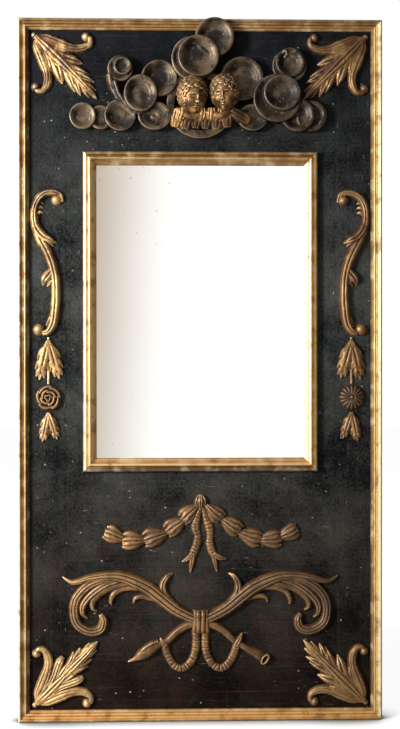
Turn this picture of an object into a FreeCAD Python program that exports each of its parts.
import FreeCAD, Part
import math
import os

from FreeCAD import Matrix, Vector

# Tall wall mirror: a black painted board panel edged with gilt mouldings, a framed mirror plate in its
# upper half, and carved gilt ornaments glued to its face. Millimetres, +Z up, the face looks along -Y.
# The origin is the middle of the top batten's rear face, where the mirror bears on the wall.
# Front pieces are drawn flat, x to the right, y up and z out of the face, then stood on the face.

# Panel boards; the black field shows beside the inner moulding, as wide as its side ornaments need
side_field_width = 129.0
board_thickness = 22.0
board_gap = 0.6
stile_width = 112.0
lower_board_shares = (0.41, 0.205, 0.385)

# Battens across the back, by their centre lines: the top one lies below the panel's top edge, the middle
# one below the opening for the plate and the bottom one above the panel's foot
batten_width = 70.0
batten_thickness = 20.0
batten_end_margin = 37.0
top_batten_drop = 170.0
middle_batten_drop = 68.0
bottom_batten_rise = 94.0
nail_edge_margin = 30.0
nail_head_radius = 4.5
nail_head_height = 1.6
nail_shank_radius = 1.6
nail_length = 30.0

# Mirror plate and what holds it
sight_width = 500.0
sight_height = 704.0
rabbet = 8.0
plate_clearance = 1.0
glass_thickness = 4.0
backboard_thickness = 10.0
fillet_strip_width = 12.0

# Gilt mouldings; shares run from a moulding's outer edge inwards, and from the panel's face outwards
outer_moulding_width = 26.0
outer_moulding_height = 17.0
inner_moulding_width = 32.0
inner_moulding_height = 19.0
outer_edge_share = 0.72
outer_arch_shares = (
    ((0.12, 1.0), (0.25, 0.74)),
    ((0.39, 0.56), (0.52, 0.72)),
    ((0.64, 0.94), (0.77, 0.62)),
)
outer_step_shares = ((0.8, 0.36), (1.0, 0.28))
inner_edge_share = 0.6
inner_arch_shares = (
    ((0.1, 0.8), (0.26, 0.86)),
    ((0.33, 0.68), (0.4, 0.78)),
    ((0.5, 1.0), (0.62, 0.76)),
    ((0.7, 0.5), (0.82, 0.4)),
)
inner_step_shares = ((0.84, 0.3), (1.0, 0.22))

# Turn buttons that hold the backboard in
button_length = 44.0
button_width = 13.0
button_thickness = 2.5
button_pivot_inset = 9.0
button_grip = 16.0
button_side_share = 0.3
screw_head_radius = 4.2
screw_head_height = 2.0
screw_shank_radius = 1.9
screw_length = 14.0
pivot_clearance = 0.08

# Ring hangers
hanger_inset = 60.0
hanger_below_batten = 34.0
hanger_width = 18.0
hanger_length = 64.0
hanger_plate = 2.0
hanger_screw_drops = (34.0, 54.0)
ring_radius = 17.0
ring_wire_radius = 2.5
knuckle_wall = 1.6
knuckle_clearance = 0.08
knuckle_standoff = 0.9

# Carved strands and leaves: how thick their edges are and how finely they are cut
strand_steps = 2
edge_height = 3.0
valley_share = 0.62
ornament_clearance = 0.3

# Corner leaves, drawn from the corner of the black field
corner_reach = 160.0
corner_leaf_length_share = 1.27
corner_leaf_root_share = 0.115
corner_leaf_crest = 17.0
corner_arm_height = 15.0
corner_arm_end_share = 0.8
corner_leaf_shares = (
    (0.0, 0.035), (0.14, 0.085), (0.18, 0.075), (0.41, 0.134), (0.38, 0.068),
    (0.58, 0.15), (0.56, 0.06), (0.74, 0.112), (0.71, 0.082), (0.83, 0.09),
    (0.81, 0.062), (0.92, 0.052), (0.9, 0.03), (1.0, 0.0),
)
corner_arm_shares = (
    (0.11, 0.18), (0.165, 0.345), (0.235, 0.5), (0.27, 0.62), (0.28, 0.73),
    (0.262, 0.83), (0.21, 0.905), (0.14, 0.915), (0.1, 0.872),
)
corner_arm_width_shares = (0.045, 0.08, 0.09, 0.06, 0.062, 0.056, 0.044, 0.038, 0.03)
corner_knob_share = 0.047
stud_radius = 6.5
stud_height = 6.3
stud_inset_share = 0.075

# Side scrolls and the drops of leaves and rosettes below them, each one under the last
side_gap = 2.6
scroll_reach_share = 0.124
scroll_length = 350.0
scroll_drop = 411.0
scroll_height = 16.0
scroll_shares = (
    (0.083, 0.068), (0.066, 0.036), (0.03, 0.02), (-0.012, 0.024), (-0.055, 0.052),
    (-0.092, 0.112), (-0.1, 0.19), (-0.078, 0.29), (-0.035, 0.384), (0.0, 0.46),
    (0.03, 0.55), (0.042, 0.66), (0.038, 0.8), (0.02, 0.92), (-0.01, 0.972),
    (-0.05, 0.968),
)
scroll_width_shares = (
    0.012, 0.017, 0.019, 0.02, 0.021, 0.024, 0.028, 0.031, 0.031, 0.03,
    0.028, 0.027, 0.028, 0.029, 0.024, 0.018,
)
scroll_top_knob_shares = (0.058, 0.082)
scroll_foot_knob_shares = (-0.076, 0.945)
scroll_knob_share = 0.03
scroll_leaflets = (
    ((-0.085, 0.25), (-0.06, 0.3), (-0.01, 0.335), (0.046, 0.354)),
    ((0.03, 0.53), (0.01, 0.58), (-0.018, 0.625), (-0.05, 0.655)),
)
scroll_leaflet_width_shares = (0.014, 0.027, 0.024, 0.006)
scroll_leaflet_height_shares = (0.7, 0.8, 0.7, 0.3)
drop_leaves_gap = 9.0
drop_leaf_length = 98.0
drop_leaf_crest = 11.0
drop_leaf_angles = (-14.0, 17.0)
drop_heel = 8.0
drop_stem_half_width = 3.5
drop_stem_height = 6.0
rosette_gap = 8.0
foot_leaves_gap = 5.0
foot_leaf_length = 70.0
foot_leaf_angles = (-11.0, 20.0)
drop_leaf_shares = (
    (0.0, 0.03), (0.1, 0.07), (0.12, 0.055), (0.46, 0.21), (0.42, 0.14),
    (0.72, 0.2), (0.67, 0.12), (0.9, 0.12), (0.87, 0.06), (1.0, 0.0),
)
rosette_radius = 31.0
rosette_height = 17.0
rosette_rim = 4.0
rosette_dish = 4.0
rosette_button_radius = 7.5
rosette_petals = 12
rosette_petal_radius = 7.0

# Cloud banks: centre and radius of each dished disc as shares of the cluster's width, and its height
# as a share of the relief; measured from the middle of the cluster, which lies a little below the corner
# leaves' tips and keeps a margin beside it and a gap over the inner moulding
cloud_side_margin = 102.5
cloud_below_corners = 13.0
cloud_foot_share = 0.14
cloud_foot_gap = 31.62
cloud_relief = 48.0
cloud_rim = 5.0
cloud_dish = 5.0
cloud_left_shares = (
    (-0.4623, -0.0611, 0.0475, 0.42), (-0.387, -0.061, 0.0475, 0.34),
    (-0.3105, -0.0537, 0.0623, 0.52), (-0.3105, 0.128, 0.0506, 0.42),
    (-0.3016, 0.1354, 0.0358, 0.58), (-0.2315, 0.0268, 0.0681, 0.82),
    (-0.1599, 0.0891, 0.0712, 0.55), (-0.1778, -0.0568, 0.0603, 0.6),
)
cloud_fold_shares = ((-0.345, 0.11), (-0.335, 0.053), (-0.3, 0.0), (-0.26, -0.05))
cloud_fold_half_width = 9.0
cloud_fold_width_shares = (0.6, 1.0, 1.0, 0.6)
cloud_fold_height_share = 0.45
cloud_crown_shares = (
    (-0.0265, 0.1619, 0.0872, 0.8), (-0.0089, 0.1681, 0.0805, 1.0), (0.0541, 0.2455, 0.0759, 0.8),
)
cloud_right_shares = (
    (0.1611, 0.0895, 0.0856, 0.5), (0.3465, 0.143, 0.068, 0.42), (0.3486, 0.1529, 0.057, 0.55),
    (0.2965, 0.0121, 0.0934, 0.68), (0.3148, 0.0303, 0.07, 0.88), (0.3774, -0.05, 0.0661, 0.55),
    (0.4319, -0.053, 0.0603, 0.42), (0.2027, -0.06, 0.0565, 0.46),
)
cloud_base_share = (0.0, -0.0097, 0.1323)
cloud_base_height = 18.0

# Cherub heads and the wing feathers under their chins
head_half_height = 43.0
head_half_width = 35.0
head_standoff = 37.0
head_places = {"cherub_head_left": (-0.0331, 0.0167, 24.0), "cherub_head_right": (0.0926, 0.0261, -12.0)}
head_ball_shares = (
    (0.0, 0.15, 0.0, 1.0), (0.0, -0.28, 0.03, 0.88), (0.0, -0.72, 0.42, 0.3), (0.0, -0.28, 0.97, 0.17),
    (-0.4, -0.31, 0.58, 0.36), (0.4, -0.31, 0.58, 0.36),
)
curl_radius_share = 0.27
curl_dip_share = 0.13
curl_row_shares = ((0.86, 0.86, 0.42, 8), (0.98, 0.93, -0.05, 9))
wing_feathers = (
    ((-0.085, -0.035), (-0.1, -0.105)), ((-0.05, -0.05), (-0.062, -0.115)),
    ((-0.015, -0.05), (-0.02, -0.11)), ((0.025, -0.045), (0.018, -0.112)),
    ((0.06, -0.05), (0.062, -0.115)), ((0.1, -0.045), (0.108, -0.105)),
    ((0.12, -0.04), (0.19, -0.075)),
)
feather_half_width = 14.0
feather_width_shares = (0.85, 1.0, 0.35)
feather_root_height = 24.0
feather_tip_height = 8.0

# Festoon of husks, by its knot's drop below the inner moulding
festoon_gap = 71.0
festoon_half_span = 232.0
festoon_shares = (
    (0.05, -0.05), (0.145, -0.125), (0.285, -0.27), (0.49, -0.4), (0.73, -0.435),
    (0.93, -0.37), (1.0, -0.265),
)
festoon_husks = 6
husk_steps = 5
husk_half_width = 13.0
husk_neck_half_width = 5.0
husk_height = 11.0
husk_neck_height_share = 0.5
knot_radius = 16.0
knot_height = 15.2
tail_reach_share = 0.74
tail_shares = (
    (0.02, -0.06), (0.07, -0.277), (0.07, -0.43), (0.11, -0.555), (0.2, -0.62),
)
tail_width_shares = (0.5, 1.0, 1.0, 1.0, 0.15)
tail_height_shares = (1.0, 1.0, 1.0, 1.0, 0.5)
tail_fork_shares = ((0.085, -0.5), (0.12, -0.62), (0.14, -0.74))
tail_fork_width_shares = (0.8, 0.7, 0.15)
tail_fork_height_shares = (1.0, 1.0, 0.5)
tail_half_width = 8.5
tail_height = 6.0

# Crossed branches: their curls rise as far as the festoon's tails, and their band lies above the corner
# leaves' tips
branch_rise_share = 0.36
branch_above_corners = 52.96
branch_span = 326.0
branch_height = 17.0
branch_strands = (
    (((0.03, 0.012), (0.1, 0.04), (0.2, 0.096), (0.31, 0.184), (0.41, 0.256), (0.56, 0.321),
      (0.68, 0.335), (0.82, 0.318), (0.94, 0.29), (1.02, 0.33)),
     (0.04, 0.042, 0.046, 0.05, 0.05, 0.042, 0.034, 0.028, 0.02, 0.006), 1.0),
    (((0.63, 0.318), (0.72, 0.31), (0.83, 0.265), (0.914, 0.176), (0.935, 0.074), (0.907, -0.02),
      (0.82, -0.072), (0.74, -0.057), (0.718, 0.008), (0.74, 0.052)),
     (0.018, 0.03, 0.037, 0.037, 0.036, 0.034, 0.03, 0.026, 0.018, 0.006), 0.92),
    (((0.6, 0.3), (0.7, 0.272), (0.8, 0.205), (0.866, 0.125), (0.87, 0.06), (0.835, 0.02)),
     (0.018, 0.028, 0.03, 0.026, 0.018, 0.006), 0.78),
    (((0.53, 0.28), (0.62, 0.258), (0.72, 0.22), (0.79, 0.155), (0.797, 0.1), (0.765, 0.074)),
     (0.018, 0.024, 0.026, 0.024, 0.018, 0.006), 0.66),
    (((0.4, 0.235), (0.5, 0.245), (0.585, 0.237), (0.643, 0.2), (0.663, 0.146), (0.655, 0.118)),
     (0.018, 0.022, 0.024, 0.022, 0.016, 0.006), 0.58),
    (((0.27, 0.148), (0.35, 0.163), (0.43, 0.18), (0.482, 0.168), (0.496, 0.132)),
     (0.015, 0.02, 0.02, 0.016, 0.006), 0.52),
    (((0.13, 0.056), (0.21, 0.127), (0.268, 0.2), (0.278, 0.268), (0.248, 0.327), (0.205, 0.35)),
     (0.02, 0.03, 0.03, 0.026, 0.02, 0.006), 0.72),
    (((0.03, -0.016), (0.1, -0.035), (0.17, -0.075), (0.24, -0.14), (0.285, -0.165)),
     (0.03, 0.031, 0.031, 0.03, 0.03), 0.84),
    (((0.262, -0.155), (0.33, -0.19), (0.4, -0.232), (0.47, -0.268), (0.53, -0.298)),
     (0.026, 0.03, 0.045, 0.038, 0.008), 1.0),
)
band_width = 38.0
band_length = 54.0
band_height = 23.0
band_round_share = 0.35
loop_shares = (
    (0.034, -0.085), (0.038, -0.21), (0.07, -0.3), (0.135, -0.352), (0.2, -0.325),
    (0.25, -0.235), (0.27, -0.16),
)
loop_half_width = 9.0
loop_height = 8.0

# Places worked out from the sizes above
overrun = 5.0
boards_back = -batten_thickness
face = boards_back - board_thickness
field_half = sight_width / 2 + inner_moulding_width + side_field_width
half_width = field_half + outer_moulding_width
stile_inner = half_width - stile_width
top_edge = top_batten_drop
corner_depth = outer_moulding_width + corner_reach
cloud_span = 2 * (field_half - cloud_side_margin)
cloud_middle = top_edge - corner_depth - cloud_below_corners
cloud_foot = cloud_middle - cloud_span * cloud_foot_share
sight_top = cloud_foot - cloud_foot_gap - inner_moulding_width
sight_bottom = sight_top - sight_height
opening_half = sight_width / 2 + rabbet + plate_clearance
opening_top = sight_top + rabbet + plate_clearance
opening_bottom = sight_bottom - rabbet - plate_clearance
festoon_middle = sight_bottom - inner_moulding_width - festoon_gap
branch_middle = festoon_middle - festoon_half_span * tail_reach_share - branch_span * branch_rise_share
bottom_edge = branch_middle - branch_above_corners - corner_depth
batten_middles = {
    "batten_top": 0.0,
    "batten_middle": opening_bottom - middle_batten_drop,
    "batten_bottom": bottom_edge + bottom_batten_rise,
}
strip_height = board_thickness - glass_thickness - backboard_thickness
side_inset = scroll_length * scroll_reach_share + side_gap
drop_leaves_at = scroll_length + drop_leaves_gap
rosette_at = drop_leaves_at + drop_leaf_length + rosette_gap + rosette_radius
foot_leaves_at = rosette_at + rosette_radius + foot_leaves_gap


# Shared makers

def on_face(shape, x=0.0, z=0.0):
    """Stands a flat-drawn piece on the panel's face, its origin at x and z."""
    placed = shape.copy()
    placed.rotate(Vector(0, 0, 0), Vector(1, 0, 0), 90)
    placed.translate(Vector(x, face, z))
    return placed


def mirrored(shape, across):
    return shape.mirror(Vector(0, 0, 0), across)


def fused(shapes):
    """One solid of several that overlap."""
    whole = shapes[0].multiFuse(shapes[1:])
    return Part.makeCompound(whole.Solids) if len(whole.Solids) > 1 else whole.Solids[0]


def box_between(low, high):
    size = high - low
    return Part.makeBox(size.x, size.y, size.z, low)


def scaled_points(shares, size):
    return [Vector(share[0] * size, share[1] * size, 0) for share in shares]


def between(at, stops, values):
    """The value at a place along the stops, in straight steps."""
    for i in range(1, len(stops)):
        if at <= stops[i]:
            part = (at - stops[i - 1]) / (stops[i] - stops[i - 1])
            return values[i - 1] + (values[i] - values[i - 1]) * part
    return values[-1]


def arch(place, tangent, half, height):
    """A strand's section: a low arch that stands on the ground, square to the tangent."""
    across = Vector(-tangent.y, tangent.x, 0).normalize() * half
    crown = place + Vector(0, 0, height)
    ground = Part.LineSegment(place - across, place + across).toShape()
    top = Part.Arc(place + across, crown, place - across).toShape()
    return Part.Wire([ground, top])


def strand(points, half_widths, heights, steps=strand_steps, ruled=False):
    """A carved strand: low arches of changing size along a smooth line on the ground."""
    stops = [0.0]
    for i in range(1, len(points)):
        stops.append(stops[-1] + points[i].distanceToPoint(points[i - 1]))
    line = Part.BSplineCurve()
    line.interpolate(Points=points, Parameters=stops)
    count = (len(points) - 1) * steps
    sections = []
    for i in range(count + 1):
        share = i / count * (len(stops) - 1)
        below = min(int(share), len(stops) - 2)
        at = stops[below] + (stops[below + 1] - stops[below]) * (share - below)
        half = between(at, stops, half_widths)
        sections.append(arch(line.value(at), line.tangent(at)[0], half, between(at, stops, heights)))
    return Part.makeLoft(sections, True, ruled)


def dome(centre, radius, height):
    """A low round knob that stands on the ground."""
    ball = (radius * radius + height * height) / (2 * height)
    lowest = math.degrees(math.asin((ball - height) / ball))
    return Part.makeSphere(ball, centre + Vector(0, 0, height - ball), Vector(0, 0, 1), lowest, 90, 360)


def facets(loops):
    """A closed solid from its flat faces."""
    faces = [Part.Face(Part.makePolygon(loop + [loop[0]])) for loop in loops]
    return Part.makeSolid(Part.makeShell(faces))


def leaf(length, crest, side_shares):
    """A carved leaf from the origin along +y. Its side runs valley, point, valley to the tip, alike on
    both sides, and its facets rise from each valley to a raised midrib."""
    last = len(side_shares) - 1
    heights = [edge_height if i % 2 else crest * valley_share for i in range(last)] + [edge_height]

    def side(sign):
        return [Vector(sign * across * length, along * length, 0) for along, across in side_shares]

    def rib(i):
        along = side_shares[i][0]
        rise = 1 - abs(2 * along - 1) / 2
        return Vector(0, along * length, crest * rise + edge_height * (1 - rise))

    loops = []
    for sign in (1, -1):
        ground = side(sign)
        top = [p + Vector(0, 0, h) for p, h in zip(ground, heights)]
        for i in range(last):
            loops.append([ground[i], ground[i + 1], top[i + 1], top[i]])
        for i in range(0, last - 1, 2):
            loops.append([top[i], top[i + 1], top[i + 2]])
            loops.append([top[i], top[i + 2], rib(i + 2)])
            loops.append([top[i], rib(i + 2), rib(i)])
        loops.append([top[last - 1], top[last], rib(last - 1)])
    right, left = side(1), side(-1)
    root = [right[0], left[0]]
    rise = Vector(0, 0, heights[0])
    loops.append([root[1], root[0], root[0] + rise, rib(0), root[1] + rise])
    loops.append(right + left[-2::-1])
    return facets(loops)


def turned(shape, degrees):
    shape.rotate(Vector(0, 0, 0), Vector(0, 0, 1), degrees)
    return shape


# The panel's boards, battens and nails

def board(left, right, low, high):
    return box_between(Vector(left, face, low), Vector(right, boards_back, high))


def panel_boards():
    pieces = {
        "stile_left": board(-half_width, -stile_inner, bottom_edge, top_edge),
        "stile_right": board(stile_inner, half_width, bottom_edge, top_edge),
    }
    inner = stile_inner - board_gap
    pieces["top_board"] = board(-inner, inner, opening_top, top_edge)
    strip_top = opening_top - board_gap
    strip_foot = opening_bottom + board_gap
    pieces["inner_strip_left"] = board(-inner, -opening_half, strip_foot, strip_top)
    pieces["inner_strip_right"] = board(opening_half, inner, strip_foot, strip_top)
    height = opening_bottom - bottom_edge - board_gap * (len(lower_board_shares) - 1)
    high = opening_bottom
    for name, share in zip(("lower_board_top", "lower_board_middle", "lower_board_foot"), lower_board_shares):
        low = high - height * share
        pieces[name] = board(-inner, inner, low, high)
        high = low - board_gap
    return pieces


def nail_places():
    """Where each batten is nailed: into the stiles and the boards between, as x and z."""
    inner = stile_inner - nail_edge_margin
    outer = half_width - nail_edge_margin - batten_end_margin
    rise = batten_width / 4
    places = []
    for middle in batten_middles.values():
        for x in (-outer, -inner, 0.0, inner, outer):
            shift = rise if x in (-inner, inner) else -rise
            places.append((x, middle + shift))
    return places


def pin_along_y(x, y, z, radius, length):
    return Part.makeCylinder(radius, length, Vector(x, y, z), Vector(0, -1, 0))


def battens_and_nails(boards):
    """Battens clenched across the boards, their nail heads let in flush with the rear faces."""
    pieces = {}
    reach = half_width - batten_end_margin
    for name, middle in batten_middles.items():
        low = Vector(-reach, boards_back, middle - batten_width / 2)
        pieces[name] = box_between(low, Vector(reach, 0, middle + batten_width / 2))
    nails = []
    for x, z in nail_places():
        head = pin_along_y(x, 0, z, nail_head_radius, nail_head_height)
        nails.append(head.fuse(pin_along_y(x, 0, z, nail_shank_radius, nail_length)).removeSplitter())
    pieces["batten_nails"] = Part.makeCompound(nails)
    for group in (pieces, boards):
        for name, piece in group.items():
            if name == "batten_nails":
                continue
            near = [nail for nail in nails if nail.BoundBox.intersect(piece.BoundBox)]
            if near:
                group[name] = piece.cut(Part.makeCompound(near)).Solids[0]
    return pieces


# Mouldings

def moulding(length, width, height, edge_share, arch_shares, step_shares):
    """One mitred length along +x, its outer edge on the x axis and its inside at y = width."""
    def at(share):
        return Vector(0, share[0] * width, share[1] * height)

    start = at((0.0, edge_share))
    edges = [Part.LineSegment(Vector(0, 0, 0), start).toShape()]
    for middle, end in arch_shares:
        edges.append(Part.Arc(start, at(middle), at(end)).toShape())
        start = at(end)
    corners = [at(share) for share in step_shares] + [at((1.0, 0.0)), Vector(0, 0, 0)]
    for corner in corners:
        edges.append(Part.LineSegment(start, corner).toShape())
        start = corner
    bar = Part.Face(Part.Wire(edges)).extrude(Vector(length, 0, 0))
    plan = [Vector(0, 0, 0), Vector(length, 0, 0), Vector(length - width, width, 0), Vector(width, width, 0)]
    mitre = Part.Face(Part.makePolygon(plan + [plan[0]])).extrude(Vector(0, 0, height + overrun))
    return bar.common(mitre).Solids[0]


def mouldings(prefix, half, high, low, sizes):
    """The four mitred lengths round a rectangle."""
    across = moulding(2 * half, *sizes)
    upright = moulding(high - low, *sizes)
    sides = {
        "bottom": (across, 0, (-half, low)),
        "right": (upright, 90, (half, low)),
        "top": (across, 180, (half, high)),
        "left": (upright, 270, (-half, high)),
    }
    return {
        f"{prefix}_{name}": on_face(turned(shape.copy(), angle), *corner)
        for name, (shape, angle, corner) in sides.items()
    }


# Mirror plate, packing strips and backboard

def plate_parts():
    half = sight_width / 2 + rabbet
    high = sight_top + rabbet
    low = sight_bottom - rabbet
    glass_back = face + glass_thickness
    strips_back = glass_back + strip_height
    pieces = {
        "mirror_glass": box_between(Vector(-half, face, low), Vector(half, glass_back, high)),
        "backboard": box_between(Vector(-half, strips_back, low), Vector(half, boards_back, high)),
    }
    inside = half - fillet_strip_width
    strips = []
    for left, right in ((-half, -inside), (inside, half)):
        strips.append(box_between(Vector(left, glass_back, low), Vector(right, strips_back, high)))
    for bottom in (low, high - fillet_strip_width):
        corner = Vector(-inside, glass_back, bottom)
        strips.append(box_between(corner, Vector(inside, strips_back, bottom + fillet_strip_width)))
    pieces["glass_strips"] = Part.makeCompound(strips)
    return pieces


# Turn buttons, ring hangers and their screws

def button():
    """A flat brass button, its pivot at the origin and its arm along +x, from y = 0 back to the thickness."""
    rounded = button_width / 2
    reach = button_length - button_pivot_inset - rounded
    plan = Part.makeBox(reach, button_thickness, button_width, Vector(0, 0, -rounded))
    for x in (0.0, reach):
        end = Part.makeCylinder(rounded, button_thickness, Vector(x, 0, 0), Vector(0, 1, 0))
        plan = plan.fuse(end)
    bore = screw_shank_radius + pivot_clearance
    hole = Part.makeCylinder(bore, button_thickness + overrun, Vector(0, -overrun / 2, 0), Vector(0, 1, 0))
    return plan.removeSplitter().cut(hole).Solids[0]


def button_pivots():
    """Each button's pivot as x and z, and the turn that points its arm over the backboard."""
    back_off = button_length - button_pivot_inset - button_grip
    side = opening_half + back_off
    upper = opening_top - (opening_top - opening_bottom) * button_side_share
    lower = opening_bottom + (opening_top - opening_bottom) * button_side_share
    return {
        "turn_button_left_upper": (-side, upper, 0),
        "turn_button_left_lower": (-side, lower, 0),
        "turn_button_right_upper": (side, upper, 180),
        "turn_button_right_lower": (side, lower, 180),
    }


def screw(x, seat, z):
    """A round-head screw driven in along -y, its head on the seat."""
    ball = (screw_head_radius ** 2 + screw_head_height ** 2) / (2 * screw_head_height)
    lowest = math.degrees(math.asin((ball - screw_head_height) / ball))
    centre = Vector(x, seat + screw_head_height - ball, z)
    head = Part.makeSphere(ball, centre, Vector(0, 1, 0), lowest, 90, 360)
    shank = pin_along_y(x, seat + screw_head_height / 4, z, screw_shank_radius, screw_length)
    return head.fuse(shank).Solids[0]


def hanger(x, z):
    """A screwed iron plate whose top is rolled into a knuckle for the ring."""
    outer = ring_wire_radius + knuckle_clearance + knuckle_wall
    axis_y = boards_back + outer + knuckle_standoff
    low = Vector(x - hanger_width / 2, boards_back, z - hanger_length)
    plate = box_between(low, Vector(x + hanger_width / 2, boards_back + hanger_plate, z))
    start = Vector(x - hanger_width / 2, axis_y, z)
    roll = Part.makeCylinder(outer, hanger_width, start, Vector(1, 0, 0))
    foot = box_between(
        Vector(x - hanger_width / 2, boards_back, z - outer), Vector(x + hanger_width / 2, axis_y, z)
    )
    bore_start = start - Vector(overrun, 0, 0)
    bore = Part.makeCylinder(
        ring_wire_radius + knuckle_clearance, hanger_width + 2 * overrun, bore_start, Vector(1, 0, 0)
    )
    return plate.multiFuse([roll, foot]).removeSplitter().cut(bore).Solids[0], axis_y


def ring(x, axis_y, z):
    """A half-round wire ring that hangs from its straight side."""
    bow = Part.makeTorus(ring_radius, ring_wire_radius, Vector(0, 0, 0), Vector(0, 0, 1), 0, 360, 180)
    bow.rotate(Vector(0, 0, 0), Vector(1, 0, 0), -90)
    bow.translate(Vector(x, axis_y, z))
    ends = [Vector(x + side * ring_radius, axis_y, z) for side in (-1, 1)]
    bar = Part.makeCylinder(ring_wire_radius, 2 * ring_radius, ends[0], Vector(1, 0, 0))
    corners = [Part.makeSphere(ring_wire_radius, end) for end in ends]
    return bow.multiFuse([bar] + corners).Solids[0]


def back_fittings(boards):
    pieces = {}
    screws = []
    for name, (x, z, angle) in button_pivots().items():
        arm = button()
        arm.rotate(Vector(0, 0, 0), Vector(0, 1, 0), angle)
        arm.translate(Vector(x, boards_back, z))
        pieces[name] = arm
        screws.append(screw(x, boards_back + button_thickness, z))
    pivot_z = -batten_width / 2 - hanger_below_batten
    for name, sign in (("left", -1), ("right", 1)):
        x = sign * (half_width - hanger_inset)
        plate, axis_y = hanger(x, pivot_z)
        drops = [pivot_z - drop for drop in hanger_screw_drops]
        seat = boards_back + hanger_plate
        plate_screws = [screw(x, seat, z) for z in drops]
        pieces[f"hanger_{name}"] = plate.cut(Part.makeCompound(plate_screws)).Solids[0]
        pieces[f"ring_{name}"] = ring(x, axis_y, pivot_z)
        screws.extend(plate_screws)
    for name, piece in boards.items():
        near = [s for s in screws if s.BoundBox.intersect(piece.BoundBox)]
        if near:
            boards[name] = piece.cut(Part.makeCompound(near)).Solids[0]
    pieces["back_screws"] = Part.makeCompound(screws)
    return pieces


# Corner leaves

def corner_arm():
    """The scrolled arm that runs up beside the moulding, with its knob."""
    points = scaled_points(corner_arm_shares, corner_reach)
    widths = [share * corner_reach for share in corner_arm_width_shares]
    low = corner_arm_height * corner_arm_end_share
    heights = [low] + [corner_arm_height] * (len(points) - 2) + [low]
    knob = dome(points[-1], corner_knob_share * corner_reach, corner_arm_height / 2)
    return [strand(points, widths, heights), knob]


def corner_leaf():
    """One carved corner in the first quadrant: a leaf on the diagonal between two scrolled arms."""
    length = corner_leaf_length_share * corner_reach
    centre = turned(leaf(length, corner_leaf_crest, corner_leaf_shares), -45)
    root = corner_leaf_root_share * corner_reach
    centre.translate(Vector(root, root, 0))
    diagonal = Vector(1, -1, 0)
    parts = [centre]
    for piece in corner_arm():
        parts.extend([piece, mirrored(piece, diagonal)])
    return fused(parts)


def corner_leaves():
    master = corner_leaf()
    inset = stud_inset_share * corner_reach
    stud = dome(Vector(inset, inset, 0), stud_radius, stud_height)
    pieces = {}
    studs = []
    master = master.cut(stud).Solids[0]
    for name, flip_x, flip_y in (
        ("bottom_left", False, False), ("bottom_right", True, False),
        ("top_left", False, True), ("top_right", True, True),
    ):
        shapes = [master, stud]
        if flip_x:
            shapes = [mirrored(s, Vector(1, 0, 0)) for s in shapes]
        if flip_y:
            shapes = [mirrored(s, Vector(0, 1, 0)) for s in shapes]
        x = field_half if flip_x else -field_half
        z = top_edge - outer_moulding_width if flip_y else bottom_edge + outer_moulding_width
        pieces[f"corner_leaf_{name}"] = on_face(shapes[0], x, z)
        studs.append(on_face(shapes[1], x, z))
    pieces["corner_studs"] = Part.makeCompound(studs)
    return pieces


# Side scrolls with their drops

def side_scroll():
    """The left-hand scroll, hanging down from the origin."""
    def down(shares):
        return [Vector(u * scroll_length, -v * scroll_length, 0) for u, v in shares]

    widths = [share * scroll_length for share in scroll_width_shares]
    heights = [scroll_height] * len(widths)
    parts = [strand(down(scroll_shares), widths, heights)]
    knobs = down((scroll_top_knob_shares, scroll_foot_knob_shares))
    parts += [dome(knob, scroll_knob_share * scroll_length, scroll_height / 2) for knob in knobs]
    leaflet_widths = [share * scroll_length for share in scroll_leaflet_width_shares]
    leaflet_heights = [share * scroll_height for share in scroll_leaflet_height_shares]
    for shares in scroll_leaflets:
        parts.append(strand(down(shares), leaflet_widths, leaflet_heights))
    return fused(parts)


def leaf_pair(length, angles, stem):
    """Two leaves that hang from the origin, and the stem that they grow from."""
    leaves = [turned(leaf(length, drop_leaf_crest, drop_leaf_shares), 180 + angle) for angle in angles]
    heel = Vector(0, drop_heel, 0)
    foot = Vector(0, -stem, 0)
    points = [heel, (heel + foot) / 2, foot]
    rod = strand(points, [drop_stem_half_width] * 3, [drop_stem_height / 2] * 3)
    return fused(leaves + [rod])


def rosette():
    """A dished flower head with a rolled, petalled rim and a raised button."""
    centre = Vector(0, 0, 0)
    bowl_radius = rosette_radius - rosette_petal_radius / 2
    bowl = dished_disc(centre, bowl_radius, rosette_height, rosette_rim, rosette_dish)
    petals = []
    ring_at = rosette_radius - rosette_petal_radius
    for i in range(rosette_petals):
        angle = 2 * math.pi * i / rosette_petals
        place = Vector(ring_at * math.cos(angle), ring_at * math.sin(angle), 0)
        petals.append(dome(place, rosette_petal_radius, rosette_petal_radius))
    button_top = dome(centre, rosette_button_radius, rosette_button_radius)
    button_top.translate(Vector(0, 0, rosette_height - rosette_rim - rosette_dish))
    return fused([bowl, button_top] + petals)


def side_ornaments():
    pieces = {}
    scroll = side_scroll()
    to_rosette = rosette_at - rosette_radius - drop_leaves_at
    upper = leaf_pair(drop_leaf_length, drop_leaf_angles, to_rosette)
    lower = leaf_pair(foot_leaf_length, foot_leaf_angles, foot_leaf_length / 2)
    flower = rosette()
    over = flower.copy()
    over.translate(Vector(0, foot_leaves_at - rosette_at, 0))
    lower = lower.cut(over).Solids[0]
    drops = {
        "side_scroll": (scroll, 0.0), "drop_leaves": (upper, drop_leaves_at),
        "rosette": (flower, rosette_at), "foot_leaves": (lower, foot_leaves_at),
    }
    x = -field_half + side_inset
    z = top_edge - scroll_drop
    for name, (shape, drop) in drops.items():
        left = on_face(shape, x, z - drop)
        pieces[f"{name}_left"] = left
        pieces[f"{name}_right"] = mirrored(left, Vector(1, 0, 0))
    return pieces


# Clouds

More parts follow.
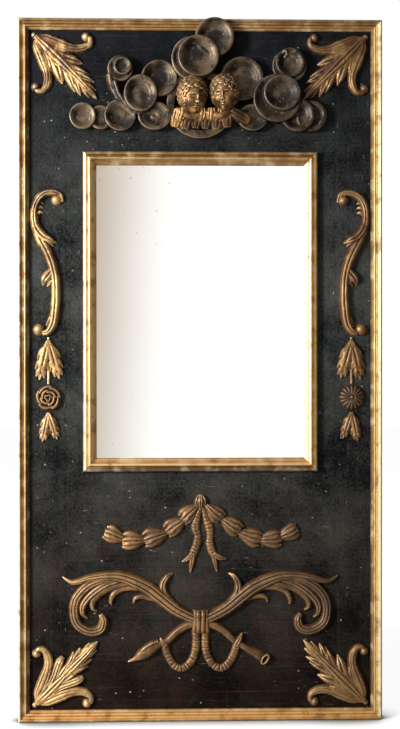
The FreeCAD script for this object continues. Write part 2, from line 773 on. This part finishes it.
def dished_disc(centre, radius, height, rim, dish):
    """A round boss that stands on the ground: a rolled rim round a dish that is part of a sphere."""
    def at(r, z):
        return centre + Vector(r, 0, z)

    lip = radius - 2 * rim
    hollow = (lip * lip + dish * dish) / (2 * dish)
    hollow_at = height - rim - dish + hollow
    lean = math.asin(lip / hollow) / 2
    shoulder = at(radius, height - rim)
    edges = [
        Part.LineSegment(at(0, 0), at(radius, 0)).toShape(),
        Part.LineSegment(at(radius, 0), shoulder).toShape(),
        Part.Arc(shoulder, at(radius - rim, height), at(lip, height - rim)).toShape(),
        Part.Arc(
            at(lip, height - rim),
            at(hollow * math.sin(lean), hollow_at - hollow * math.cos(lean)),
            at(0, height - rim - dish),
        ).toShape(),
        Part.LineSegment(at(0, height - rim - dish), at(0, 0)).toShape(),
    ]
    return Part.Face(Part.Wire(edges)).revolve(centre, Vector(0, 0, 1), 360)


def cloud(shares):
    discs = []
    for x, y, radius, level in shares:
        place = Vector(x * cloud_span, y * cloud_span, 0)
        discs.append(dished_disc(place, radius * cloud_span, level * cloud_relief, cloud_rim, cloud_dish))
    return fused(discs)


def cloud_base():
    """The round base under the heads, its edge rolled and its top flat."""
    x, y, radius = (share * cloud_span for share in cloud_base_share)
    centre = Vector(x, y, 0)
    rim = Vector(radius, 0, cloud_base_height - cloud_rim)
    lean = cloud_rim * math.sin(math.pi / 4)
    middle = rim + Vector(lean - cloud_rim, 0, lean)
    crest = rim + Vector(-cloud_rim, 0, cloud_rim)
    axis = Vector(0, 0, cloud_base_height)
    foot = Vector(radius, 0, 0)
    edges = [
        Part.LineSegment(Vector(0, 0, 0), foot).toShape(),
        Part.LineSegment(foot, rim).toShape(),
        Part.Arc(rim, middle, crest).toShape(),
        Part.LineSegment(crest, axis).toShape(),
        Part.LineSegment(axis, Vector(0, 0, 0)).toShape(),
    ]
    base = Part.Face(Part.Wire(edges)).revolve(Vector(0, 0, 0), Vector(0, 0, 1), 360)
    base.translate(centre)
    return base


def clouds():
    """The three banks and the lip under the heads, drawn round the middle of the cluster."""
    points = scaled_points(cloud_fold_shares, cloud_span)
    widths = [cloud_fold_half_width * share for share in cloud_fold_width_shares]
    fold = strand(points, widths, [cloud_relief * cloud_fold_height_share] * len(points))
    left = fused([cloud(cloud_left_shares), fold])
    crown = cloud(cloud_crown_shares)
    rail_low = top_edge - outer_moulding_width - ornament_clearance - cloud_middle
    rail = box_between(
        Vector(-cloud_span, rail_low, -overrun),
        Vector(cloud_span, rail_low + cloud_span, outer_moulding_height + ornament_clearance),
    )
    crown = crown.cut(rail).Solids[0]
    return {
        "cloud_left": left, "cloud_crown": crown, "cloud_right": cloud(cloud_right_shares),
        "cloud_base": cloud_base(),
    }


# Cherub heads and wings

def cherub_head():
    """A round child's head, face along +z, its middle over the origin, ringed with curls."""
    def ball(x, y, out, radius):
        place = Vector(x * head_half_width, y * head_half_height, out * head_half_width)
        return Part.makeSphere(radius * head_half_width, place)

    parts = [ball(*share) for share in head_ball_shares]
    for reach, rise, out, count in curl_row_shares:
        for i in range(count):
            angle = math.pi * (i / (count - 1) * (1 + 2 * curl_dip_share) - curl_dip_share)
            parts.append(ball(reach * math.cos(angle), rise * math.sin(angle), out, curl_radius_share))
    return fused(parts)


def heads():
    """Both heads, each turned its own way and cut flat behind where it sits on the base."""
    master = cherub_head()
    reach = cloud_span
    below = box_between(Vector(-reach, -reach, -reach), Vector(reach, reach, cloud_base_height))
    pieces = {}
    for name, (x, y, turn) in head_places.items():
        head = master.copy()
        head.rotate(Vector(0, 0, 0), Vector(0, 1, 0), turn)
        head.translate(Vector(x * cloud_span, y * cloud_span, head_standoff))
        pieces[name] = head.cut(below).Solids[0]
    pieces["cherub_head_right"] = pieces["cherub_head_right"].cut(pieces["cherub_head_left"]).Solids[0]
    return pieces


def wings():
    """Feather tips spread below the chins, and one that points out to the right."""
    feathers = []
    for ends in wing_feathers:
        root, tip = scaled_points(ends, cloud_span)
        root.z = tip.z = cloud_base_height
        points = [root, (root + tip) / 2, tip]
        widths = [feather_half_width * share for share in feather_width_shares]
        middle = (feather_root_height + feather_tip_height) / 2
        feathers.append(strand(points, widths, [feather_root_height, middle, feather_tip_height]))
    return fused(feathers)


def largest(shape):
    return max(shape.Solids, key=lambda solid: solid.Volume)


def crest():
    """Clouds, heads and wings, each cut back to what lies over it."""
    pieces = heads()
    wing = wings()
    for head in pieces.values():
        wing = largest(wing.cut(head))
    banks = clouds()
    for low, high in (
        ("cloud_base", "cloud_crown"), ("cloud_base", "cloud_left"), ("cloud_base", "cloud_right"),
        ("cloud_left", "cloud_crown"), ("cloud_right", "cloud_crown"),
    ):
        banks[low] = largest(banks[low].cut(banks[high]))
    for name in ("cloud_left", "cloud_crown", "cloud_right"):
        for over in (pieces["cherub_head_left"], pieces["cherub_head_right"], wing):
            if banks[name].BoundBox.intersect(over.BoundBox):
                banks[name] = largest(banks[name].cut(over))
    pieces["wings"] = wing
    pieces.update(banks)
    return {name: on_face(piece, 0, cloud_middle) for name, piece in pieces.items()}


# Festoon

def husk_string():
    """The right-hand string of husks: one strand that swells at each husk."""
    points = scaled_points(festoon_shares, festoon_half_span)
    line = Part.BSplineCurve()
    line.interpolate(points)
    count = festoon_husks * husk_steps
    first, last = line.FirstParameter, line.LastParameter
    sections = []
    for i in range(count + 1):
        at = first + (last - first) * i / count
        swell = abs(math.sin(math.pi * i / husk_steps))
        half = husk_neck_half_width + (husk_half_width - husk_neck_half_width) * swell
        height = husk_height * (husk_neck_height_share + (1 - husk_neck_height_share) * swell)
        sections.append(arch(line.value(at), line.tangent(at)[0], half, height))
    return Part.makeLoft(sections, True, True)


def ribbon_tail():
    """The right-hand tail, its end cut in a swallow's tail."""
    points = scaled_points(tail_shares, festoon_half_span)
    widths = [tail_half_width * share for share in tail_width_shares]
    heights = [tail_height * share for share in tail_height_shares]
    fork = scaled_points(tail_fork_shares, festoon_half_span)
    fork_widths = [tail_half_width * share for share in tail_fork_width_shares]
    fork_heights = [tail_height * share for share in tail_fork_height_shares]
    return fused([strand(points, widths, heights), strand(fork, fork_widths, fork_heights)])


def festoon():
    knot = dome(Vector(0, 0, 0), knot_radius, knot_height)
    tail = largest(ribbon_tail().cut(knot))
    tail_left = mirrored(tail, Vector(1, 0, 0))
    bow = fused([knot, tail, tail_left.cut(tail).Solids[0]])
    string = largest(husk_string().cut(bow))
    right = on_face(string, 0, festoon_middle)
    return {
        "festoon_right": right, "festoon_left": mirrored(right, Vector(1, 0, 0)),
        "festoon_bow": on_face(bow, 0, festoon_middle),
    }


# Crossed branches

def branch():
    """The right-hand branch: its stem, its curling fronds and the bud at its foot."""
    parts = []
    for shares, width_shares, height_share in branch_strands:
        points = scaled_points(shares, branch_span)
        widths = [share * branch_span for share in width_shares]
        full = branch_height * height_share
        heights = [min(full, 2 * half) for half in widths]
        parts.append(strand(points, widths, heights))
    return fused(parts)


def branches():
    right = branch()
    left = mirrored(right, Vector(1, 0, 0))
    rounding = band_height * band_round_share
    band = Part.makeBox(band_width, band_length, band_height, Vector(-band_width / 2, -band_length / 2, 0))
    long_edges = [
        e for e in band.Edges
        if abs(e.tangentAt(e.FirstParameter).y) > 0.5 and e.CenterOfMass.z > rounding
    ]
    band = band.makeFillet(rounding, long_edges)
    points = scaled_points(loop_shares, branch_span)
    loop = strand(points, [loop_half_width] * len(points), [loop_height] * len(points))
    for piece in (right, left):
        band = largest(band.cut(piece))
    other_half = box_between(
        Vector(-branch_span, -branch_span, -overrun),
        Vector(ornament_clearance / 2, branch_span, loop_height + overrun),
    )
    loop = largest(loop.cut(right).cut(other_half))
    pieces = {
        "branch_right": right, "branch_left": left, "branch_band": band,
        "ribbon_loop_right": loop, "ribbon_loop_left": mirrored(loop, Vector(1, 0, 0)),
    }
    return {name: on_face(piece, 0, branch_middle) for name, piece in pieces.items()}


# The whole mirror

def whole_mirror():
    pieces = panel_boards()
    pieces.update(battens_and_nails(pieces))
    pieces.update(back_fittings(pieces))
    outer_sizes = (
        outer_moulding_width, outer_moulding_height, outer_edge_share, outer_arch_shares, outer_step_shares
    )
    inner_sizes = (
        inner_moulding_width, inner_moulding_height, inner_edge_share, inner_arch_shares, inner_step_shares
    )
    pieces.update(mouldings("outer_moulding", half_width, top_edge, bottom_edge, outer_sizes))
    frame_half = sight_width / 2 + inner_moulding_width
    frame_top = sight_top + inner_moulding_width
    frame_foot = sight_bottom - inner_moulding_width
    pieces.update(mouldings("inner_moulding", frame_half, frame_top, frame_foot, inner_sizes))
    pieces.update(plate_parts())
    pieces.update(corner_leaves())
    pieces.update(side_ornaments())
    pieces.update(crest())
    pieces.update(festoon())
    pieces.update(branches())
    return pieces


os.makedirs("parts", exist_ok=True)
for node, solid in whole_mirror().items():
    solid.exportStep(f"parts/{node}.step")
